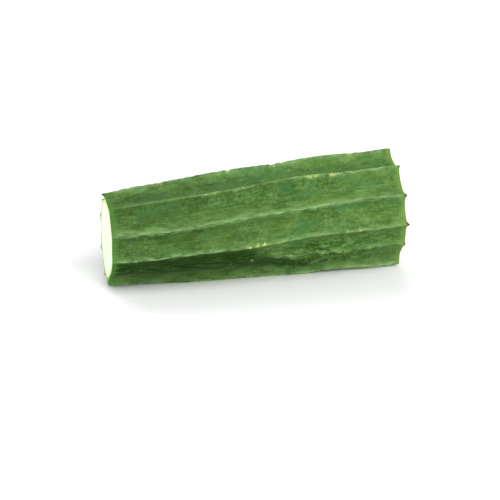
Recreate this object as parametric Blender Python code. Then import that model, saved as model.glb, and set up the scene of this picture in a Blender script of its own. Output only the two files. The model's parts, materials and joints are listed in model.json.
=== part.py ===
"""A cut section of a ridge gourd, lying on its side.

The fruit is one solid: a slim club with ten sharp ridges along it and a furrow between each
two, cut flat at both ends. Its own axis runs along X from the thin cut to the thick cut. It is
then laid down on the ridges that it balances on. Metres, +Z up, and it lies on Z = 0.
"""

import math

import bmesh
import bpy
import numpy as np
from mathutils import Matrix, Vector

# Overall size. Radii are from the axis to the crest of a ridge.
section_length = 0.150
thin_end_radius = 0.0240
thick_end_radius = 0.0300
taper_power = 2.2  # above 1, most of the taper is near the thin end

# Ridges: how far a crest stands above the furrow beside it, at each end.
thin_ridge_height = 0.0042
thick_ridge_height = 0.0053
crest_rounding = 0.05  # share of a furrow's half-width over which a crest is rounded
furrow_power = 3.2  # 2 is a round furrow, above 2 it is flatter with steeper sides
full_furrow = math.radians(40)  # crests closer together than this have a shallower furrow

# Each ridge: its angle at the thin and the thick end in degrees, from straight up towards -Y,
# how far its crest stands past the club's radius there, and its lean to its steeper side, -1 to 1.
# The fifth stayed low and close to the fourth.
ridges = (
    (-13.5, -11.5, -0.0004, 0.0001, -0.15),
    (29.5, 26.0, 0.0000, 0.0000, 0.15),
    (67.0, 58.5, 0.0000, 0.0001, 0.10),
    (99.5, 88.0, -0.0001, 0.0002, 0.00),
    (118.5, 116.0, -0.0017, -0.0029, 0.20),
    (166.0, 156.5, 0.0001, 0.0000, 0.00),
    (194.0, 201.0, -0.0008, 0.0000, 0.05),
    (238.0, 238.0, -0.0008, -0.0002, 0.20),
    (282.0, 276.0, -0.0010, 0.0003, -0.15),
    (315.0, 311.0, -0.0018, -0.0003, 0.10),
)

# How the fruit grew: a slow bend of its axis, one wave of all the ridges winding round it,
# and smaller waves of each crest on its own.
axis_bow = 0.0010
winding = math.radians(1.8)
crest_sway = math.radians(0.7)
sway_waves = 2.3  # waves in the section's length
sway_step = 2.4  # how far, in radians, each ridge's wave is out of step with the one before
crest_swell = 0.0003
swell_waves = 3.0
swell_step = 1.7

# The knife's two cuts: how far each plane leans and swings from square, in degrees.
thin_cut_lean, thin_cut_swing = 3.1, 2.0
thick_cut_lean, thick_cut_swing = 0.9, -0.6

# Mesh density, and the edge angle above which the shading breaks.
columns_per_ridge = 12
rings_along = 24
sharp_edge = math.radians(50)

rind_green = (0.095, 0.195, 0.055)
flesh_white = (0.86, 0.89, 0.70)


def between(start, end, share):
    """The value at a share of the way from start to end. Along the fruit, start is thin."""
    return start + (end - start) * share


def club_radius(along):
    """Distance from the axis to an even crest, at a share of the way to the thick end."""
    return between(thick_end_radius, thin_end_radius, (1 - along) ** taper_power)


def crest_angle(number, along):
    """Angle of one crest. Each ridge sways a little out of step with the next."""
    thin, thick = ridges[number][:2]
    wound = winding * math.sin(math.tau * along)
    sway = crest_sway * math.sin(math.tau * sway_waves * along + sway_step * number)
    return math.radians(between(thin, thick, along)) + wound + sway


def crest_radius(number, along):
    """Distance from the axis to one crest, with its slow swell."""
    stands_out = between(*ridges[number][2:4], along)
    swell = crest_swell * math.sin(math.tau * swell_waves * along + swell_step * number)
    return club_radius(along) + stands_out + swell


def rind_radius(near, far, share, gap, along):
    """Distance from the axis to the rind, at a share of the way from one crest to the next."""
    height = between(thin_ridge_height, thick_ridge_height, along)
    floor = club_radius(along) - height * min(1.0, gap / full_furrow)
    crest, lean = (near, -ridges[near][4]) if share < 0.5 else (far, ridges[far][4])
    from_crest = 1 - abs(2 * share - 1)
    rounded = math.hypot(from_crest, crest_rounding) - crest_rounding
    wall = max(0.0, 1 - rounded) ** (furrow_power * (1 + lean))
    return between(floor, crest_radius(crest, along), wall)


def ring_points(along):
    """One ring of points round the fruit, sheared so that the end rings are the two cuts."""
    lean = math.tan(math.radians(between(thin_cut_lean, thick_cut_lean, along)))
    swing = math.tan(math.radians(between(thin_cut_swing, thick_cut_swing, along)))
    bow = axis_bow * math.sin(math.pi * along)
    points = []
    for near in range(len(ridges)):
        far = (near + 1) % len(ridges)
        start = crest_angle(near, along)
        gap = (crest_angle(far, along) - start) % math.tau
        for column in range(columns_per_ridge):
            share = (1 - math.cos(math.pi * column / columns_per_ridge)) / 2
            radius = rind_radius(near, far, share, gap, along)
            y = -radius * math.sin(start + gap * share)
            z = radius * math.cos(start + gap * share)
            x = section_length * (along - 0.5) + lean * z + swing * y
            points.append(Vector((x, y + bow, z)))
    return points


def build_fruit():
    """The closed mesh: rind between the rings, and a fan of flesh over each cut."""
    mesh = bmesh.new()
    rings = []
    for ring in range(rings_along + 1):
        rings.append([mesh.verts.new(p) for p in ring_points(ring / rings_along)])
    count = len(rings[0])
    for near, far in zip(rings, rings[1:]):
        for i in range(count):
            after = (i + 1) % count
            mesh.faces.new((near[i], near[after], far[after], far[i]))
    for ring, outwards in ((rings[0], -1), (rings[-1], 1)):
        middle = mesh.verts.new(sum((v.co for v in ring), Vector()) / count)
        for i in range(count):
            pair = (ring[i], ring[(i + 1) % count])[::outwards]
            mesh.faces.new((middle, *pair)).material_index = 1
    bmesh.ops.recalc_face_normals(mesh, faces=mesh.faces)
    return mesh


def centre_of_mass(mesh):
    """Centroid of the solid, from the tetrahedra that its faces make with the origin."""
    triangles = [[loop.vert.co for loop in three] for three in mesh.calc_loop_triangles()]
    corners = np.array(triangles)
    volumes = np.linalg.det(corners)
    return Vector(corners.sum(axis=1).T @ volumes / volumes.sum() / 4)


def hull_triangles(mesh):
    """Corners of each triangle of the convex hull, which is all that can touch a floor."""
    hull = bmesh.new()
    for vertex in mesh.verts:
        hull.verts.new(vertex.co)
    made = bmesh.ops.convex_hull(hull, input=hull.verts)["geom"]
    triangles = [
        [vertex.co.copy() for vertex in face.verts]
        for face in made
        if isinstance(face, bmesh.types.BMFace)
    ]
    hull.free()
    return triangles


def resting_turn(mesh):
    """The turn that lays the fruit on the hull facet it balances on, nearest to its underside."""
    balance = centre_of_mass(mesh)
    best = None
    for a, b, c in hull_triangles(mesh):
        normal = (b - a).cross(c - a).normalized()
        if normal.dot(a - balance) < 0:
            normal.negate()
        foot = balance + normal * normal.dot(a - balance)
        sides = [(q - p).cross(foot - p).dot(normal) for p, q in ((a, b), (b, c), (c, a))]
        holds = min(sides) >= 0 or max(sides) <= 0
        if holds and (best is None or normal.z < best.z):
            best = normal
    return best.rotation_difference(Vector((0, 0, -1))).to_matrix().to_4x4()


def plain_material(name, colour, roughness):
    material = bpy.data.materials.new(name)
    material.use_nodes = True
    shader = material.node_tree.nodes["Principled BSDF"]
    shader.inputs["Base Color"].default_value = (*colour, 1)
    shader.inputs["Roughness"].default_value = roughness
    shader.inputs["Metallic"].default_value = 0.0
    return material


def clear_scene():
    for old in list(bpy.data.objects):
        bpy.data.objects.remove(old)


def make_gourd():
    mesh = build_fruit()
    laid = resting_turn(mesh)
    places = [laid @ vertex.co for vertex in mesh.verts]
    low = Vector(map(min, *places))
    high = Vector(map(max, *places))
    data = bpy.data.meshes.new("ridge_gourd")
    mesh.to_mesh(data)
    mesh.free()
    data.materials.append(plain_material("rind", rind_green, 0.55))
    data.materials.append(plain_material("flesh", flesh_white, 0.45))
    data.shade_smooth()
    data.set_sharp_from_angle(angle=sharp_edge)
    gourd = bpy.data.objects.new("ridge_gourd", data)
    bpy.context.scene.collection.objects.link(gourd)
    middle = (low + high) / 2
    gourd.matrix_world = Matrix.Translation((-middle.x, -middle.y, -low.z)) @ laid
    return gourd


clear_scene()
make_gourd()
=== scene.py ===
import json
import math
import random

import bpy
import numpy as np
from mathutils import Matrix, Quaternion, Vector, noise
from mathutils.bvhtree import BVHTree


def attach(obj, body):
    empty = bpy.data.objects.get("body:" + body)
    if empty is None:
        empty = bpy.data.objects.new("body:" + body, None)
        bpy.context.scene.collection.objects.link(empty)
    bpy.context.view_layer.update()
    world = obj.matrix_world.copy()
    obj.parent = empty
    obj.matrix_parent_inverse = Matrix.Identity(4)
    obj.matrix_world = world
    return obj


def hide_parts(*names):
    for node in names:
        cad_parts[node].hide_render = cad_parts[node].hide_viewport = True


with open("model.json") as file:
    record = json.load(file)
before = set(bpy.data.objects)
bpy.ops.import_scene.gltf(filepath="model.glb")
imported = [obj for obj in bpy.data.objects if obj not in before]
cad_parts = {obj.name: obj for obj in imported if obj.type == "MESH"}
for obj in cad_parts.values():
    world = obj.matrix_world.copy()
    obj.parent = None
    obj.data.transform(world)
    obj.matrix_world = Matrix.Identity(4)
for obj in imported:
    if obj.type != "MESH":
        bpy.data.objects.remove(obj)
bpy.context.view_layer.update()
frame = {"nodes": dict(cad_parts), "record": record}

mm = 0.001
scene = bpy.context.scene


# camera: a long lens a little above the fruit, its thin cut end just nearer than the thick one
view = {
    "azimuth": -11.93,
    "elevation": 22.0,
    "roll": 0.92,
    "distance": 1.770,
    "lens": 249.1,
    "sensor": 36.0,
    "clip": (0.05, 20.0),
    "aimHeight": 29.0 * mm,
    "aimDrop": 15.75 * mm,  # the fruit sits above the middle of the view
    "aimRight": -0.15 * mm,
}


def makeCamera():
    azimuth = math.radians(view["azimuth"])
    elevation = math.radians(view["elevation"])
    flat = math.cos(elevation)
    back = Vector((math.sin(azimuth) * flat, -math.cos(azimuth) * flat, math.sin(elevation)))
    right = Vector((math.cos(azimuth), math.sin(azimuth), 0.0))
    up = back.cross(right)
    aim = Vector((0, 0, view["aimHeight"])) - up * view["aimDrop"] + right * view["aimRight"]
    data = bpy.data.cameras.new("camera")
    data.lens = view["lens"]
    data.sensor_width = view["sensor"]
    data.clip_start, data.clip_end = view["clip"]
    data.dof.use_dof = False
    camera = bpy.data.objects.new("camera", data)
    scene.collection.objects.link(camera)
    camera.rotation_mode = "QUATERNION"
    camera.location = aim + back * view["distance"]
    turned = (-back).to_track_quat("-Z", "Y")
    camera.rotation_quaternion = turned @ Quaternion((0, 0, 1), -math.radians(view["roll"]))
    scene.camera = camera


makeCamera()
print("camera made")


# the fruit's own axis, from the centre of the thin cut to the centre of the thick one
mounts = {mount["name"]: mount for mount in frame["record"]["mounts"]}
thinCut = Vector(mounts["thin_cut_face"]["pos_m"])
thickCut = Vector(mounts["thick_cut_face"]["pos_m"])
thinNormal = Vector(mounts["thin_cut_face"]["axis"])
thickNormal = Vector(mounts["thick_cut_face"]["axis"])
alongAxis = (thickCut - thinCut).normalized()
upAxis = (Vector((0, 0, 1)) - alongAxis * alongAxis.z).normalized()
sideAxis = alongAxis.cross(upAxis)  # towards the camera's side
fruitLength = (thickCut - thinCut).length


def spokeDirection(angle, along):
    # square to the axis, but sheared so that the first and last spokes lie in the two cuts
    out = upAxis * math.cos(angle) + sideAxis * math.sin(angle)
    thinShear = -out.dot(thinNormal) / alongAxis.dot(thinNormal)
    thickShear = -out.dot(thickNormal) / alongAxis.dot(thickNormal)
    return out + alongAxis * (thinShear + (thickShear - thinShear) * along)


survey = {
    "stations": 31,
    "lookSteps": 1440,  # directions looked in when the crests are found
    "ridges": 10,
    "furrowColumns": 12,  # samples from one crest to the next
    "searchWidth": 12,  # steps to each side in which a crest is followed
    "leadOn": 0.8,  # share of a crest's last drift that is expected again
    "nearEnough": 0.8,  # share of the search width within which a peak is the crest
    "endInset": 0.004,
}


def cadTree():
    mesh = frame["nodes"]["ridge_gourd"].data
    corners = [vertex.co.copy() for vertex in mesh.vertices]
    return BVHTree.FromPolygons(corners, [list(face.vertices) for face in mesh.polygons])


def measureRadius(surface, angle, along):
    inset = survey["endInset"]
    place = thinCut.lerp(thickCut, min(1 - inset, max(inset, along)))
    spoke = spokeDirection(angle, along)
    hit = surface.ray_cast(place, spoke)
    return hit[3] / spoke.length


def followCrests(surface, stations):
    # start at the thick cut, where every ridge stands clear, and follow each one back
    steps = survey["lookSteps"]
    turn = math.tau / steps
    reach = survey["searchWidth"]
    nearEnough = reach * turn * survey["nearEnough"]
    tracks = np.zeros((len(stations), survey["ridges"]))
    for index in range(len(stations) - 1, -1, -1):
        ring = np.array([measureRadius(surface, step * turn, stations[index]) for step in range(steps)])
        near = np.stack([np.roll(ring, shift) for shift in range(-reach, reach + 1)])
        peaks = np.flatnonzero(ring >= near.max(axis=0)) * turn
        if index == len(stations) - 1:
            tracks[index] = peaks[: survey["ridges"]]
            continue
        after = tracks[index + 1]
        further = tracks[min(index + 2, len(stations) - 1)]
        for ridge in range(survey["ridges"]):
            expected = after[ridge] + survey["leadOn"] * (after[ridge] - further[ridge])
            misses = (peaks - expected + math.pi) % math.tau - math.pi
            best = misses[np.argmin(np.abs(misses))]
            tracks[index, ridge] = expected + best if abs(best) < nearEnough else expected
    return tracks


surface = cadTree()
stations = np.linspace(0, 1, survey["stations"])
tracks = followCrests(surface, stations)
print("crests", np.degrees(tracks[0]).round(1), np.degrees(tracks[-1]).round(1))

# smooth rind from the survey: rows run along the fruit, columns from crest to crest
rind = {
    "rows": 188,
    "columnsPerFurrow": 44,
    "crowding": 0.75,  # 1 puts the most columns at the crests, 0 spaces them evenly
    "sharpAngle": 75.0,  # edges that turn more than this stay crisp
}


def curveThrough(values, places):
    # Catmull-Rom through evenly spaced samples along the first axis, at places from 0 to 1
    last = len(values) - 1
    where = np.clip(np.asarray(places) * last, 0, last)
    start = np.minimum(where.astype(int), last - 1)
    t = (where - start).reshape(-1, *([1] * (values.ndim - 1)))
    a, b = values[np.maximum(start - 1, 0)], values[start]
    c, d = values[start + 1], values[np.minimum(start + 2, last)]
    return 0.5 * (2 * b + (c - a) * t + (2 * a - 5 * b + 4 * c - d) * t**2 + (3 * b - a - 3 * c + d) * t**3)


def surveyFurrows(surface, stations, tracks):
    columns = survey["furrowColumns"]
    radii = np.zeros((len(stations), survey["ridges"], columns + 1))
    gaps = (np.roll(tracks, -1, axis=1) - tracks) % math.tau
    for row, along in enumerate(stations):
        for ridge in range(survey["ridges"]):
            for column in range(columns + 1):
                share = (1 - math.cos(math.pi * column / columns)) / 2
                angle = tracks[row, ridge] + gaps[row, ridge] * share
                radii[row, ridge, column] = measureRadius(surface, angle, along)
    return radii, gaps


def fineRind(stations, tracks, radii, gaps):
    rows, columns = rind["rows"], rind["columnsPerFurrow"]
    along = np.linspace(0, 1, rows + 1)
    even = np.arange(columns) / columns
    crowded = (1 - np.cos(np.pi * even)) / 2
    share = even + (crowded - even) * rind["crowding"]
    places = np.arccos(1 - 2 * share) / np.pi
    radius = curveThrough(radii, along)
    radius = np.moveaxis(curveThrough(np.moveaxis(radius, 2, 0), places), 0, 2)
    start = curveThrough(tracks, along)
    gap = curveThrough(gaps, along)
    angle = start[:, :, None] + gap[:, :, None] * share
    return along, share, radius, angle, gap


radii, gaps = surveyFurrows(surface, stations, tracks)
along, share, radius, angle, gap = fineRind(stations, tracks, radii, gaps)
print("rind surveyed", radius.shape, radius.min(), radius.max())

# uneven growth of the rind, from broad swells to fine pimples, in millimetres: sizes are along
# the fruit and then across it, and each offset takes another part of the same noise
growth = {
    "swell": {"height": 0.28, "size": (26, 16, 16), "offset": 3.1},
    "lumps": {"height": 0.15, "size": (8, 4.5, 4.5), "offset": 11.7},
    "veins": {"height": 0.07, "size": (14, 1.6, 1.6), "offset": 5.3},
    "creases": {"height": 0.05, "size": (1.3, 6, 6), "offset": 17.9},
    "pimples": {"height": 0.05, "size": (1.4, 1.2, 1.2), "offset": 8.9},
}
growthRadius = 27.0  # of the even cylinder that the noise is laid on

# ridges in the survey's order: 0 to 2 face the camera, 3 is the low one, 4 is lowest in front,
# 5 to 8 are underneath and behind, 9 is the top one
thirdRidge, lowRidge, bottomRidge, topRidge = 2, 3, 4, 9

# how the crests waver and where handling rubbed them down, in millimetres
crest = {
    "reach": 1.4,
    "wander": {"height": 0.45, "size": 3.6, "offset": 14.2},
    "lowWander": 2.2,  # how many times as much the low ridge wanders
    "rub": {"height": 0.40, "size": 2.6, "offset": 1.9},
    "rubMore": 0.1,  # at 0 half of a crest's length is rubbed
    "rubScar": 0.2,
    "apart": 37.0,  # step in the noise from one ridge to the next
}

# nicks in the crests, in millimetres: a pair is a value and what is added to it, for each
# millimetre of depth or, in the uneven depth, by the grain
nick = {
    "width": (0.5, 0.7), "scarWidth": (0.8, 1.0), "scarTone": (0.2, 0.8), "mostScar": 0.8,
    "unevenDepth": (0.7, 0.9), "grain": {"size": 1.1, "offset": 21.5},
    "scattered": 60, "seed": 7,  # small nicks besides the chosen ones, each drawn from these ranges
    "place": (0.02, 0.98), "length": (1.0, 3.0), "depth": (0.05, 0.28),
}

# nicks that show best: ridge, how far along, how long and how deep
chosenNicks = (
    (0, 0.345, 17.0, 0.15), (0, 0.36, 5.0, 0.30), (0, 0.685, 7.0, 0.6), (0, 0.712, 4.0, 0.5),
    (0, 0.735, 2.0, 0.3), (0, 0.768, 5.0, 0.8), (0, 0.79, 1.8, 0.5), (0, 0.83, 9.0, 0.25),
    (2, 0.463, 3.0, 0.5), (2, 0.488, 4.5, 0.6), (2, 0.512, 3.0, 0.7), (2, 0.56, 2.5, 0.4),
    (2, 0.76, 3.0, 0.2), (2, 0.80, 6.0, 0.2), (2, 0.84, 6.0, 0.3), (2, 0.93, 4.5, 0.15),
    (9, 0.19, 4.0, 0.5), (9, 0.395, 3.0, 0.5), (9, 0.43, 4.0, 0.6),
    (9, 0.585, 5.0, 0.6), (9, 0.62, 3.0, 0.4), (9, 0.86, 4.0, 0.5), (1, 0.72, 3.0, 0.2),
    (3, 0.60, 4.0, 0.2), (3, 0.68, 3.0, 0.2), (3, 0.88, 4.0, 0.2), (4, 0.60, 4.0, 0.6),
    (4, 0.72, 3.0, 0.5), (4, 0.30, 3.0, 0.3),
)

# wrinkled flank below the third ridge: where along it starts, is strongest and ends, how much
# is left at the end, and over which shares of the way down it fades in and out
pucker = {
    "start": 0.45, "peak": 0.70, "end": 1.0, "left": 0.35,
    "fadeIn": (0.02, 0.2), "fadeOut": (0.75, 0.98),
    "height": 1.5, "size": (5.0, 3.2, 3.2), "offset": 27.3, "steepness": 2.0, "sunk": 0.6,
}

# how clearly each ridge is marked, ridge by ridge, at the thin and at the thick end: painted light
# on the flank's upper side, the light crest itself, partly its worn pale skin and partly a painted
# highlight, a thin line of painted shade just below and the dried tip
marks = {
    "paintedLight": ((0.7, 1.0), (1.0, 0.9), (0.1, 0.5), (0.0, 0.3), (0.2, 1.0),
             (0.4, 0.5), (0.5, 0.6), (0.5, 0.6), (0.4, 0.5), (0.6, 0.6)),
    "light": ((0.0, 0.60), (0.5, 0.50), (0.60, 0.35), (0.0, 0.4), (0.5, 1.0),
              (0.6, 0.8), (0.6, 0.7), (0.6, 0.7), (0.6, 0.7), (0.3, 0.5)),
    "paintedShadeLine": ((0.55, 0.2), (0.0, 0.0), (0.3, 0.2), (0.0, 0.2), (0.0, 0.0),
             (0.3, 0.3), (0.4, 0.3), (0.4, 0.3), (0.3, 0.3), (0.1, 0.2)),
    "dried": ((0.2, 0.6), (0.1, 1.0), (0.1, 1.0), (0.2, 0.6), (0.3, 0.3),
              (0.4, 0.4), (0.3, 0.5), (0.4, 0.4), (0.4, 0.4), (1.0, 0.3)),
}

# how far the knife drew out a crest's tough tip at each cut, or with a minus broke it back, and
# how far across and along the fruit that is felt, in millimetres
drawnTips = {
    "thin": {topRidge: 2.1, bottomRidge: -0.9}, "thick": {0: 0.5, 1: 0.9, 2: 1.1},
    "others": 0.2, "reach": 0.9, "length": 1.3,
}

# painted shade under the third ridge, a dark green band: how far down towards the bottom ridge it
# lies, and half its width, first near the thin end and then, past the turn, as a line beside the low ridge
paintedShadeBand = {
    "place": (0.30, 0.80), "halfWidth": (0.34, 0.13), "turnStart": 0.40, "turnEnd": 0.70,
    "strength": 1.0, "fadeStart": 0.50, "fadeEnd": 0.88,
}


def noiseField(points, kind):
    # smooth noise from -1 to 1 over an array of points, with its own size along each axis
    scaled = points / np.asarray(kind["size"], float) + kind["offset"]
    flat = scaled.reshape(-1, 3)
    values = [noise.noise(Vector(point)) for point in flat.tolist()]
    return np.array(values).reshape(scaled.shape[:-1])


def uneven(points, kind):
    return noiseField(points, kind) * kind["height"]


def fadeBetween(values, start, end):
    # smooth step from 0 to 1 as values go from start to end
    t = np.clip((values - start) / (end - start), 0, 1)
    return t * t * (3 - 2 * t)


def changing(pair, amount):
    # a value for each row, which goes from the pair's first to its second as amount goes to 1
    return (pair[0] + (pair[1] - pair[0]) * amount)[:, None, None]


def adding(pair, amount):
    return pair[0] + pair[1] * amount


def nickList():
    rng = random.Random(nick["seed"])
    nicks = list(chosenNicks)
    for _ in range(nick["scattered"]):
        nicks.append((rng.randrange(survey["ridges"]), rng.uniform(*nick["place"]),
                      rng.uniform(*nick["length"]), rng.uniform(*nick["depth"])))
    return nicks


def nickDepth(lengthwise, fromCrest, ridgeOf, grown):
    # how deep each point of the rind lies in a nick, and how much it looks scarred
    unevenDepth = adding(nick["unevenDepth"], noiseField(grown, nick["grain"]))
    depth = np.zeros_like(lengthwise)
    scar = np.zeros_like(lengthwise)
    for ridge, place, length, deep in nickList():
        off = np.abs(lengthwise - place * fruitLength / mm) / (length / 2)
        shape = np.clip(1 - off**2, 0, 1) * (ridgeOf == ridge)
        cut = shape * np.exp(-(fromCrest / adding(nick["width"], deep)) ** 2)
        depth = np.maximum(depth, cut * deep * unevenDepth)
        spread = shape * np.exp(-(fromCrest / adding(nick["scarWidth"], deep)) ** 2)
        tone = spread * adding(nick["scarTone"], deep)
        scar = np.maximum(scar, np.clip(tone, 0, nick["mostScar"]))
    return depth, scar


def placesOnRind():
    # where each point lies: along the fruit, in the noise, and across from the nearest crest
    ridges = survey["ridges"]
    lengthwise = np.broadcast_to(along[:, None, None] * fruitLength / mm, radius.shape)
    turn = (np.arange(ridges)[None, :, None] + share) * math.tau / ridges
    turn = np.broadcast_to(turn, radius.shape)
    grown = np.stack([lengthwise, growthRadius * np.cos(turn), growthRadius * np.sin(turn)], axis=-1)
    firstHalf = share < 0.5
    arc = gap[:, :, None] * radius / mm
    fromCrest = np.where(firstHalf, share, 1 - share) * arc
    crestAngle = angle[:, :, :1] + np.where(firstHalf, 0, 1) * gap[:, :, None]
    downhill = np.where(firstHalf, 1, -1) * np.sign(np.sin(crestAngle))
    ridgeOf = np.arange(ridges)[None, :, None] + np.where(firstHalf, 0, 1)
    ridgeOf = np.broadcast_to(ridgeOf % ridges, radius.shape)
    return lengthwise, grown, fromCrest, downhill, ridgeOf


def underThirdRidge():
    # how wrinkled each point is on the way down to the bottom ridge, and how much painted shade it gets
    third = angle[:, thirdRidge, :1, None]
    bottom = angle[:, bottomRidge, :1, None]
    downward = (angle - third) / (bottom - third)
    inside = (downward >= 0) & (downward <= 1)
    rise = fadeBetween(along, pucker["start"], pucker["peak"])
    fall = fadeBetween(along, pucker["peak"], pucker["end"])
    wrinkled = changing((1.0, pucker["left"]), fall) * rise[:, None, None] * inside
    wrinkled = wrinkled * fadeBetween(downward, *pucker["fadeIn"])
    wrinkled = wrinkled * (1 - fadeBetween(downward, *pucker["fadeOut"]))
    # painted shade: the dark band under the third ridge
    turned = fadeBetween(along, paintedShadeBand["turnStart"], paintedShadeBand["turnEnd"])
    off = (downward - changing(paintedShadeBand["place"], turned)) / changing(paintedShadeBand["halfWidth"], turned)
    darkAlong = 1 - fadeBetween(along, paintedShadeBand["fadeStart"], paintedShadeBand["fadeEnd"])
    dark = np.exp(-off**4) * inside * paintedShadeBand["strength"] * darkAlong[:, None, None]
    return wrinkled, dark


def wornRind():
    lengthwise, grown, fromCrest, downhill, ridgeOf = placesOnRind()
    nearCrest = np.exp(-(fromCrest / crest["reach"]) ** 2)
    crestPoint = np.stack([lengthwise, ridgeOf * crest["apart"], np.zeros_like(lengthwise)], axis=-1)
    wander = uneven(crestPoint, crest["wander"]) * nearCrest
    wander = wander * np.where(ridgeOf == lowRidge, crest["lowWander"], 1.0)
    rubbed = np.clip(noiseField(crestPoint, crest["rub"]) + crest["rubMore"], 0, 1)
    depth, scar = nickDepth(lengthwise, fromCrest, ridgeOf, grown)
    wrinkled, dark = underThirdRidge()
    folds = np.abs(noiseField(grown, pucker)) * pucker["steepness"] - pucker["sunk"]

    marked = {}
    for name, pairs in marks.items():
        thin, thick = np.array(pairs).T
        marked[name] = thin[ridgeOf] + (thick - thin)[ridgeOf] * along[:, None, None]

    out = sum(uneven(grown, kind) for kind in growth.values())
    out = out + folds * pucker["height"] * wrinkled
    out = out - rubbed * crest["rub"]["height"] * nearCrest**2 - depth
    return {
        "radius": radius + out * mm,
        "angle": angle + wander * mm / radius,
        "lengthwise": lengthwise,
        "grown": grown,
        "flank": fromCrest * downhill,
        "ridgeOf": ridgeOf,
        "scar": np.clip(scar + rubbed * nearCrest**3 * crest["rubScar"], 0, 1),
        **marked,
        # dark: where shade is painted under the third ridge
        "dark": dark,
        "wrinkled": wrinkled,
    }


worn = wornRind()
print("rind worn")


# the mesh: rind between the two cuts, then each cut face as rings that close on its middle
cutFace = {
    "rings": (0.004, 0.012, 0.03, 0.06, 0.10, 0.15, 0.21, 0.28, 0.38, 0.52, 0.70, 0.88),
    "sag": 0.30,  # how far the soft flesh stands back from the rind, in millimetres
    "sagReach": 4.0,  # how far in from the rind it has sunk as far as that
    "knife": {"height": 0.05, "size": (3.0, 2.0, 40.0), "offset": 2.2},
    "knifeFrom": 0.025,  # share of the way in from which the knife's waves are full
    "tipRing": 0.10,  # share of the way in at which the drawn tips end
}
floorGap = 0.02 * mm

# values that the rind's material reads at each point, among them where light and shade are painted
rindLayers = ("flank", "scar", *marks, "dark", "wrinkled")


def tipPull(end, distance):
    # how far along the axis each point of a row is drawn out by the knife
    chosen = drawnTips[end]
    reachOf = np.array([chosen.get(ridge, drawnTips["others"]) for ridge in range(survey["ridges"])])
    fromCrest = np.abs(worn["flank"])
    near = np.exp(-(fromCrest / drawnTips["reach"]) ** 2 - (distance / drawnTips["length"]) ** 2)
    return reachOf[worn["ridgeOf"]] * near * mm


def rindPoints():
    rows = len(along)
    flatAngle = worn["angle"].reshape(rows, -1)
    flatRadius = worn["radius"].reshape(rows, -1)
    start, end = np.array(thinCut), np.array(thickCut)
    axis, up, side = np.array(alongAxis), np.array(upAxis), np.array(sideAxis)
    out = np.cos(flatAngle)[..., None] * up + np.sin(flatAngle)[..., None] * side
    thinShear = -(out @ np.array(thinNormal)) / alongAxis.dot(thinNormal)
    thickShear = -(out @ np.array(thickNormal)) / alongAxis.dot(thickNormal)
    shear = thinShear + (thickShear - thinShear) * along[:, None]
    middle = start + (end - start) * along[:, None, None]
    points = middle + (out + shear[..., None] * axis) * flatRadius[..., None]
    fromThin = worn["lengthwise"]
    pull = tipPull("thick", fruitLength / mm - fromThin) - tipPull("thin", fromThin)
    return points, pull.reshape(rows, -1)[..., None] * axis


def onFloor(points):
    # nothing reaches below the surface that the fruit lies on
    points[..., 2] = np.maximum(points[..., 2], floorGap)
    return points


def rollingLow(values, reach):
    # lowest value within reach steps round a closed ring, then smoothed over the same reach
    low = np.stack([np.roll(values, step) for step in range(-reach, reach + 1)]).min(axis=0)
    return np.stack([np.roll(low, step) for step in range(-reach, reach + 1)]).mean(axis=0)


def cutRings(outline, pull, centre, normal):
    # rings of points from the outline to the middle of a cut, with their depth in the flesh
    centre, normal = np.array(centre), np.array(normal)
    spokes = outline - centre
    reach = np.linalg.norm(spokes, axis=1)
    fleshEdge = rollingLow(reach, rind["columnsPerFurrow"] // 2)
    rings = []
    for ring in cutFace["rings"]:
        place = centre + spokes * (1 - ring) + pull * max(0.0, 1 - ring / cutFace["tipRing"])
        depth = fleshEdge - reach * (1 - ring)
        sunk = np.clip(depth / (cutFace["sagReach"] * mm), 0, 1) * cutFace["sag"]
        waves = uneven(place / mm, cutFace["knife"]) * min(1, ring / cutFace["knifeFrom"])
        place = place - normal * ((sunk - waves) * mm)[:, None]
        rings.append((onFloor(place), depth / mm, ring * reach / mm))
    middle = centre - normal * cutFace["sag"] * mm
    deepest = np.full(1, fleshEdge.mean() / mm)
    rings.append((middle[None], deepest, deepest))
    return rings, (fleshEdge - reach) / mm


def rindFaces(rows, around):
    now = np.arange(around)
    after = np.roll(now, -1)
    quads = []
    for row in range(rows - 1):
        base = row * around
        quads.append(np.stack([base + now, base + now + around, base + after + around, base + after], 1))
    return np.concatenate(quads).tolist()


def rindValues(shared):
    # lists of values for the material to read, each begun with the points of the rind
    lengthwise = worn["lengthwise"].reshape(shared)
    layers = {name: [worn[name].reshape(shared)] for name in rindLayers}
    layers["fromCut"] = [np.minimum(lengthwise, fruitLength / mm - lengthwise)]
    layers["thick"] = [lengthwise * mm / fruitLength]
    layers["depth"] = [np.zeros(shared)]
    layers["fromSkin"] = [np.zeros(shared)]
    layers["grown"] = [worn["grown"].reshape(shared, 3)]
    return layers


def ringFaces(previous, current, atThinCut):
    # faces from one ring of a cut to the next, or triangles to the one point in its middle
    after = np.roll(np.arange(len(previous)), -1)
    corners = [previous, previous[after], current[after], current]
    if current[0] == current[-1]:
        corners = [previous, previous[after], current]
    ring = np.stack(corners, 1)
    return (ring if atThinCut else ring[:, ::-1]).tolist()


def makeMesh(vertices, faces, slots, layers):
    mesh = bpy.data.meshes.new("ridgeGourd")
    mesh.from_pydata(np.concatenate(vertices).tolist(), [], faces)
    for name, parts in layers.items():
        isVector = name == "grown"
        layer = mesh.attributes.new(name, "FLOAT_VECTOR" if isVector else "FLOAT", "POINT")
        values = np.concatenate(parts).astype(np.float32).ravel()
        layer.data.foreach_set("vector" if isVector else "value", values)
    mesh.polygons.foreach_set("material_index", np.array(slots, np.int32))
    mesh.shade_smooth()
    mesh.set_sharp_from_angle(angle=math.radians(rind["sharpAngle"]))
    mesh.update()
    return mesh


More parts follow.
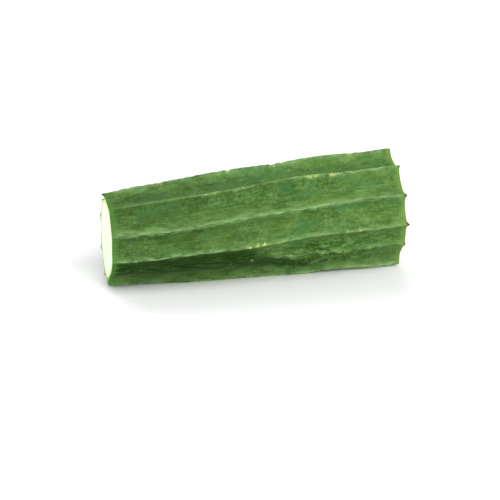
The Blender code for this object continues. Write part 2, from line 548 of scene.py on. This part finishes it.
def buildGourd():
    points, pull = rindPoints()
    rows, around = points.shape[:2]
    now = np.arange(around)
    total = rows * around
    vertices = [onFloor(points + pull).reshape(-1, 3)]
    faces = rindFaces(rows, around)
    slots = [0] * len(faces)
    layers = rindValues(total)
    grown = layers["grown"][0]
    for end, centre, normal in ((0, thinCut, thinNormal), (rows - 1, thickCut, thickNormal)):
        previous = end * around + now
        grownEdge = grown[previous]
        rings, edgeDepth = cutRings(points[end], pull[end], centre, normal)
        layers["depth"][0][previous] = edgeDepth
        for place, depth, fromSkin in rings:
            count = len(place)
            current = total + (now if count > 1 else np.zeros(around, int))
            vertices.append(place)
            layers["depth"].append(depth)
            layers["fromSkin"].append(fromSkin)
            layers["thick"].append(np.full(count, float(end > 0)))
            layers["grown"].append(grownEdge if count > 1 else np.zeros((1, 3)))
            for name in (*rindLayers, "fromCut"):
                layers[name].append(np.zeros(count))
            faces += ringFaces(previous, current, end == 0)
            previous = current
            total += count
    slots += [1] * (len(faces) - len(slots))
    gourd = bpy.data.objects.new("ridgeGourd", makeMesh(vertices, faces, slots, layers))
    scene.collection.objects.link(gourd)
    return gourd


gourd = buildGourd()
print("gourd built", len(gourd.data.polygons), "faces")


# materials
def fromScreen(red, green, blue):
    # a colour as a screen shows it, 0 to 255, to the linear one that shaders use
    def linear(value):
        value = value / 255
        return value / 12.92 if value <= 0.04045 else ((value + 0.055) / 1.055) ** 2.4
    return (linear(red), linear(green), linear(blue), 1.0)


def addNode(tree, kind, inputs=None, **settings):
    node = tree.nodes.new(kind)
    for name, value in settings.items():
        setattr(node, name, value)
    for name, value in (inputs or {}).items():
        setSocket(tree, node.inputs[name], value)
    return node


def setSocket(tree, socket, value):
    # a link where the value comes from a node, a plain value otherwise
    if isinstance(value, bpy.types.NodeSocket):
        tree.links.new(value, socket)
    else:
        socket.default_value = value


def combine(tree, operation, first, second=0.0):
    return addNode(tree, "ShaderNodeMath", {0: first, 1: second}, operation=operation).outputs[0]


def times(tree, first, second):
    return combine(tree, "MULTIPLY", first, second)


def plus(tree, first, second):
    return combine(tree, "ADD", first, second)


def fade(tree, value, start, end, low=0.0, high=1.0):
    # smooth change from low to high as value goes from start to end
    return addNode(tree, "ShaderNodeMapRange", {
        "Value": value, "From Min": start, "From Max": end, "To Min": low, "To Max": high,
    }, interpolation_type="SMOOTHSTEP").outputs["Result"]


def blend(tree, amount, first, second, mode="MIX"):
    node = addNode(tree, "ShaderNodeMix", data_type="RGBA", blend_type=mode, clamp_factor=True)
    sockets = {socket.identifier: socket for socket in node.inputs}
    setSocket(tree, sockets["Factor_Float"], amount)
    setSocket(tree, sockets["A_Color"], first)
    setSocket(tree, sockets["B_Color"], second)
    return next(socket for socket in node.outputs if socket.identifier == "Result_Color")


def attribute(tree, name, output="Fac"):
    return addNode(tree, "ShaderNodeAttribute", attribute_name=name).outputs[output]


def makeGrainGroup():
    # blotches and finer grain that follow the fruit's growth: a value round 0.5
    group = bpy.data.node_groups.new("growthGrain", "ShaderNodeTree")
    interface = group.interface
    interface.new_socket("Vector", in_out="INPUT", socket_type="NodeSocketVector")
    for name, value in (("Size", 5.0), ("Stretch", 1.0), ("Detail", 3.0)):
        socket = interface.new_socket(name, in_out="INPUT", socket_type="NodeSocketFloat")
        socket.default_value = value
    interface.new_socket("Value", in_out="OUTPUT", socket_type="NodeSocketFloat")
    start = group.nodes.new("NodeGroupInput").outputs
    end = group.nodes.new("NodeGroupOutput").inputs
    parts = addNode(group, "ShaderNodeSeparateXYZ", {0: start["Vector"]}).outputs
    lengthwise = combine(group, "DIVIDE", parts["X"], times(group, start["Size"], start["Stretch"]))
    across = combine(group, "DIVIDE", parts["Y"], start["Size"])
    deep = combine(group, "DIVIDE", parts["Z"], start["Size"])
    place = addNode(group, "ShaderNodeCombineXYZ", {0: lengthwise, 1: across, 2: deep}).outputs[0]
    cloud = addNode(group, "ShaderNodeTexNoise", {
        "Vector": place, "Scale": 1.0, "Detail": start["Detail"], "Roughness": 0.55,
    })
    group.links.new(cloud.outputs["Fac"], end["Value"])
    return group


grainGroup = makeGrainGroup()


def grain(tree, vector, size, stretch, detail):
    node = addNode(tree, "ShaderNodeGroup", node_tree=grainGroup)
    values = {"Vector": vector, "Size": size, "Stretch": stretch, "Detail": detail}
    for name, value in values.items():
        setSocket(tree, node.inputs[name], value)
    return node.outputs["Value"]


reliefDepth = 0.3 * mm


def newMaterial(name, specular):
    material = bpy.data.materials.new(name)
    material.use_nodes = True
    tree = material.node_tree
    shader = tree.nodes["Principled BSDF"]
    shader.inputs["Metallic"].default_value = 0.0
    shader.inputs["Specular IOR Level"].default_value = specular
    return material, tree, shader


def paint(tree, shader, colour, roughness):
    setSocket(tree, shader.inputs["Base Color"], colour)
    setSocket(tree, shader.inputs["Roughness"], roughness)


def addRelief(tree, shader, height, strength):
    sizes = {"Height": height, "Strength": strength, "Distance": reliefDepth}
    bump = addNode(tree, "ShaderNodeBump", sizes)
    tree.links.new(bump.outputs["Normal"], shader.inputs["Normal"])


rindLook = {
    "dark": fromScreen(50, 82, 30),
    "middle": fromScreen(74, 108, 50),
    "light": fromScreen(100, 136, 74),
    "cool": fromScreen(66, 112, 62),
    "warm": fromScreen(84, 114, 44),
    # painted light on the upper flanks and on the swellings of the wrinkles
    "paintedLight": fromScreen(112, 148, 84),
    # the crest's colour: worn pale skin with a painted highlight
    "crest": fromScreen(144, 176, 118),
    # painted shade: the thin dark line below each crest, also used in the creases
    "paintedShadeLine": fromScreen(36, 64, 18),
    "scar": fromScreen(134, 158, 72),
    "cork": fromScreen(192, 208, 150),
    # painted shade under the third ridge
    "paintedUnderShade": fromScreen(20, 46, 7),
    "thinStrip": fromScreen(74, 122, 48),
    "thickStrip": fromScreen(110, 140, 64),
    "speck": fromScreen(140, 166, 104),
    "tip": fromScreen(60, 62, 44),
    "shade": (0.0, 0.0, 0.0, 1.0),
    "specular": 0.03,
    "relief": 0.6,
    "speckScale": 0.45,
    "creaseLevel": 0.47,  # creases follow this height in the grain of the folds
}

# grain in the rind: size in millimetres, how many times longer along the fruit, and detail
rindGrain = {
    "patch": (6.0, 1.5, 3.0),
    "mottle": (1.6, 0.9, 4.0),
    "streak": (0.9, 9.0, 3.0),
    "cool": (9.0, 1.6, 2.0),
    "warm": (7.0, 2.2, 2.0),
    # grain that breaks up the painted light on the upper flanks
    "paintedLight": (2.6, 3.2, 3.0),
    "crest": (1.3, 3.5, 3.0),
    # grain that breaks up the line of painted shade below each crest
    "paintedShadeLine": (1.8, 3.0, 2.0),
    "folds": (4.0, 1.6, 4.0),
    "fine": (0.6, 1.4, 3.0),
    "ragged": (3.6, 1.0, 3.0),
    "crosswise": (2.4, 0.22, 2.0),
}

# where each layer of the rind begins and is full, in millimetres or in the grain's own value,
# and after that its strength at the two places, where it isn't 0 and 1
rindFade = {
    "middle": (0.35, 0.54),
    "light": (0.47, 0.64),
    "cool": (0.46, 0.66, 0.0, 0.5),
    "warm": (0.50, 0.68, 0.0, 0.4),
    "thinShade": (0.1, 0.9, 0.28, 0.0),
    # painted light on the upper flank beside each crest
    "paintedLightPatches": (0.34, 0.66, 0.15, 0.85),
    "paintedLightAbove": (-6.5, -0.8),
    "paintedLightBelow": (0.7, 0.0),
    # the crest's light colour, partly worn pale skin and partly a painted highlight
    "crestBreaks": (0.40, 0.62, 0.1, 1.0),
    "crest": (2.2, 0.2),
    # a thin line of painted shade just below each crest
    "paintedShadeBreaks": (0.36, 0.60, 0.25, 0.9),
    "paintedShadeAbove": (0.5, 0.9),
    "paintedShadeBelow": (2.4, 1.1),
    # streaks that break up the painted shade under the third ridge
    "paintedShadeStreaks": (0.38, 0.66, 1.0, 0.62),
    "speck": (0.16, 0.05, 0.0, 0.15),
    # painted light on the swellings and painted shade in the creases of the wrinkled flank
    "paintedFoldLight": (0.52, 0.66, 0.0, 0.6),
    "paintedCreaseShade": (0.045, 0.0, 0.0, 0.8),
    "scar": (0.75, 1.20, 0.0, 0.75),
    "cork": (1.95, 2.25, 0.0, 0.9),
    "corkInScar": (0.08, 0.25),
    "ragged": (0.3, 0.7, -1.0, 1.0),
    "strip": (4.2, 0.6, 0.0, 0.7),
    "tipAlong": (1.3, 0.3),
    "tipAcross": (1.3, 0.5),
    "roughness": (0.3, 0.7, 0.44, 0.60),
}

# how much of each grain goes into a mixed one
rindShares = {
    "tone": {"patch": 0.38, "mottle": 0.36, "streak": 0.26},
    "relief": {"streak": 0.6, "fine": 0.8, "crosswise": 0.5},
    "scar": 1.2,
    "cork": 2.8,
}


def rindNoise(tree, grown, name):
    return grain(tree, grown, *rindGrain[name])


def rindLayer(tree, value, name):
    return fade(tree, value, *rindFade[name])


def mixed(tree, grains, shares):
    # sum of the grains, each in its own share
    total, *others = [times(tree, grains[name], amount) for name, amount in shares.items()]
    for part in others:
        total = plus(tree, total, part)
    return total


def mottledSkin(tree, grown, grains):
    tone = mixed(tree, grains, rindShares["tone"])
    colour = blend(tree, rindLayer(tree, tone, "middle"), rindLook["dark"], rindLook["middle"])
    colour = blend(tree, rindLayer(tree, tone, "light"), colour, rindLook["light"])
    for name in ("cool", "warm"):
        amount = rindLayer(tree, rindNoise(tree, grown, name), name)
        colour = blend(tree, amount, colour, rindLook[name])
    return colour, tone


def ridgeMarks(tree, grown, colour, flank):
    # painted light on the upper flank, a broken light crest that is partly worn pale skin and partly a
    # painted highlight, and a thin line of painted shade below
    patches = rindLayer(tree, rindNoise(tree, grown, "paintedLight"), "paintedLightPatches")
    side = times(tree, rindLayer(tree, flank, "paintedLightAbove"), rindLayer(tree, flank, "paintedLightBelow"))
    amount = times(tree, times(tree, side, patches), attribute(tree, "paintedLight"))
    colour = blend(tree, amount, colour, rindLook["paintedLight"])
    # the crest's light colour: partly worn pale skin, partly a painted highlight
    breaks = rindLayer(tree, rindNoise(tree, grown, "crest"), "crestBreaks")
    top = rindLayer(tree, combine(tree, "ABSOLUTE", flank), "crest")
    amount = times(tree, times(tree, top, breaks), attribute(tree, "light"))
    colour = blend(tree, amount, colour, rindLook["crest"])
    # a thin line of painted shade below each crest
    breaks = rindLayer(tree, rindNoise(tree, grown, "paintedShadeLine"), "paintedShadeBreaks")
    side = times(tree, rindLayer(tree, flank, "paintedShadeAbove"), rindLayer(tree, flank, "paintedShadeBelow"))
    amount = times(tree, times(tree, side, breaks), attribute(tree, "paintedShadeLine"))
    return blend(tree, amount, colour, rindLook["paintedShadeLine"])


def wrinkles(tree, grown, colour):
    # painted shade in the creases and painted light on the swellings where the flank is wrinkled
    wrinkled = attribute(tree, "wrinkled")
    folds = rindNoise(tree, grown, "folds")
    paintedFoldLight = times(tree, rindLayer(tree, folds, "paintedFoldLight"), wrinkled)
    colour = blend(tree, paintedFoldLight, colour, rindLook["paintedLight"])
    offCrease = combine(tree, "ABSOLUTE", plus(tree, folds, -rindLook["creaseLevel"]))
    paintedCreaseShade = times(tree, rindLayer(tree, offCrease, "paintedCreaseShade"), wrinkled)
    return blend(tree, paintedCreaseShade, colour, rindLook["paintedShadeLine"])


def scars(tree, colour, fine):
    # healed skin in the nicks, with cork where they are deepest
    scar = attribute(tree, "scar")
    healed = plus(tree, scar, times(tree, fine, rindShares["scar"]))
    colour = blend(tree, rindLayer(tree, healed, "scar"), colour, rindLook["scar"])
    corky = plus(tree, scar, times(tree, fine, rindShares["cork"]))
    cork = times(tree, rindLayer(tree, corky, "cork"), rindLayer(tree, scar, "corkInScar"))
    return blend(tree, cork, colour, rindLook["cork"])


def cutEdges(tree, grown, colour, flank, thick):
    # bruised, juicier skin beside each cut, and the dried tip of each crest
    fromCut = attribute(tree, "fromCut")
    ragged = rindLayer(tree, rindNoise(tree, grown, "ragged"), "ragged")
    strip = rindLayer(tree, plus(tree, fromCut, ragged), "strip")
    stripColour = blend(tree, thick, rindLook["thinStrip"], rindLook["thickStrip"])
    colour = blend(tree, strip, colour, stripColour)
    fromCrest = combine(tree, "ABSOLUTE", flank)
    tip = times(tree, rindLayer(tree, fromCut, "tipAlong"), rindLayer(tree, fromCrest, "tipAcross"))
    tip = times(tree, tip, attribute(tree, "dried"))
    return blend(tree, tip, colour, rindLook["tip"])


def makeRind():
    material, tree, shader = newMaterial("rind", rindLook["specular"])
    grown = attribute(tree, "grown", "Vector")
    flank = attribute(tree, "flank")
    thick = attribute(tree, "thick")
    shared = ("patch", "mottle", "streak", "fine", "crosswise")
    grains = {name: rindNoise(tree, grown, name) for name in shared}
    colour, tone = mottledSkin(tree, grown, grains)
    colour = blend(tree, rindLayer(tree, thick, "thinShade"), colour, rindLook["shade"])
    colour = ridgeMarks(tree, grown, colour, flank)
    # painted shade under the third ridge, broken up by streaks
    streaks = rindLayer(tree, grains["streak"], "paintedShadeStreaks")
    paintedUnderShade = times(tree, attribute(tree, "dark"), streaks)
    colour = blend(tree, paintedUnderShade, colour, rindLook["paintedUnderShade"])
    cells = addNode(tree, "ShaderNodeTexVoronoi", {"Vector": grown, "Scale": rindLook["speckScale"]})
    speck = rindLayer(tree, cells.outputs["Distance"], "speck")
    colour = blend(tree, speck, colour, rindLook["speck"])
    colour = wrinkles(tree, grown, colour)
    colour = scars(tree, colour, grains["fine"])
    colour = cutEdges(tree, grown, colour, flank, thick)
    paint(tree, shader, colour, rindLayer(tree, tone, "roughness"))
    addRelief(tree, shader, mixed(tree, grains, rindShares["relief"]), rindLook["relief"])
    return material


fleshLook = {
    "skin": fromScreen(52, 92, 30),
    "spike": fromScreen(84, 150, 36),
    "rim": fromScreen(112, 176, 44),
    "lime": fromScreen(186, 218, 96),
    "cream": fromScreen(228, 245, 200),
    "white": fromScreen(231, 247, 216),
    "core": fromScreen(231, 245, 212),
    "cells": fromScreen(225, 232, 190),
    "specular": 0.3,
    "relief": 0.35,
    "grain": (2.2, 1.0, 3.0),
    "cellScale": 0.9,
    "cellRelief": 0.5,
}

# as for the rind, from the flesh's edge inwards
fleshFade = {
    "wobble": (0.3, 0.7, -0.5, 0.5),
    "rim": (-1.2, 0.2),
    "lime": (-0.2, 0.8),
    "cream": (0.4, 1.8),
    "white": (1.6, 4.5),
    "core": (8.0, 14.0, 0.0, 0.7),
    "skin": (0.5, 0.15),
    "tip": (-3.0, -3.6),
    "cells": (0.1, 0.8, 0.0, 0.05),
    "roughness": (0.3, 0.7, 0.32, 0.5),
}


def makeFlesh():
    material, tree, shader = newMaterial("flesh", fleshLook["specular"])
    depth = attribute(tree, "depth")
    position = addNode(tree, "ShaderNodeTexCoord").outputs["Object"]
    enlarge = {0: position, "Scale": 1 / mm}
    place = addNode(tree, "ShaderNodeVectorMath", enlarge, operation="SCALE").outputs[0]
    soft = grain(tree, place, *fleshLook["grain"])
    wobbly = plus(tree, depth, fade(tree, soft, *fleshFade["wobble"]))
    colour = fleshLook["spike"]
    for name in ("rim", "lime", "cream", "white", "core"):
        colour = blend(tree, fade(tree, wobbly, *fleshFade[name]), colour, fleshLook[name])
    skin = fade(tree, attribute(tree, "fromSkin"), *fleshFade["skin"])
    colour = blend(tree, skin, colour, fleshLook["skin"])
    colour = blend(tree, fade(tree, depth, *fleshFade["tip"]), colour, rindLook["tip"])
    cells = addNode(tree, "ShaderNodeTexVoronoi", {"Vector": place, "Scale": fleshLook["cellScale"]})
    distance = cells.outputs["Distance"]
    walls = fade(tree, distance, *fleshFade["cells"])
    colour = blend(tree, walls, colour, fleshLook["cells"], "MULTIPLY")
    paint(tree, shader, colour, fade(tree, soft, *fleshFade["roughness"]))
    relief = plus(tree, soft, times(tree, distance, fleshLook["cellRelief"]))
    addRelief(tree, shader, relief, fleshLook["relief"])
    return material


gourd.data.materials.append(makeRind())
gourd.data.materials.append(makeFlesh())
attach(gourd, "root")
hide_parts("ridge_gourd")
print("materials made")


# floor and light
studio = {
    "floorColour": (0.93, 0.93, 0.93, 1.0),
    "floorPatch": (0.91, 0.91, 0.915, 1.0),
    "floorGrain": (0.35, 1.0, 2.0),
    "floorFade": (0.3, 0.7),
    "floorRoughness": 0.7,
    "floorSpecular": 0.2,
    "floorSize": 8.0,
    "sky": 0.35,
    "key": 3.0, "keySoftness": 60.0, "keyPlace": (0.45, -1.0, 0.85),
    "back": 1.5, "backSoftness": 60.0, "backPlace": (-0.3, 1.0, 0.9),
    "side": 1.0, "sideSoftness": 50.0, "sidePlace": (-1.0, -0.25, 0.45),
}


def makeFloor():
    mesh = bpy.data.meshes.new("floor")
    half = studio["floorSize"] / 2
    corners = [(-half, -half, 0), (half, -half, 0), (half, half, 0), (-half, half, 0)]
    mesh.from_pydata(corners, [], [(0, 1, 2, 3)])
    floor = bpy.data.objects.new("floor", mesh)
    scene.collection.objects.link(floor)
    material, tree, shader = newMaterial("floor", studio["floorSpecular"])
    position = addNode(tree, "ShaderNodeTexCoord").outputs["Object"]
    patch = fade(tree, grain(tree, position, *studio["floorGrain"]), *studio["floorFade"])
    colour = blend(tree, patch, studio["floorColour"], studio["floorPatch"])
    paint(tree, shader, colour, studio["floorRoughness"])
    mesh.materials.append(material)


def makeLight(name):
    data = bpy.data.lights.new(name, "SUN")
    data.energy = studio[name]
    data.angle = math.radians(studio[name + "Softness"])
    light = bpy.data.objects.new(name, data)
    scene.collection.objects.link(light)
    place = Vector(studio[name + "Place"])
    light.location = place
    light.rotation_mode = "QUATERNION"
    light.rotation_quaternion = (-place).to_track_quat("-Z", "Y")


def makeWorld():
    world = bpy.data.worlds.new("studio")
    world.use_nodes = True
    world.node_tree.nodes["Background"].inputs["Color"].default_value = (1, 1, 1, 1)
    world.node_tree.nodes["Background"].inputs["Strength"].default_value = studio["sky"]
    scene.world = world


makeFloor()
makeWorld()
for lightName in ("key", "back", "side"):
    makeLight(lightName)
scene.view_settings.view_transform = "Standard"
print("studio made")
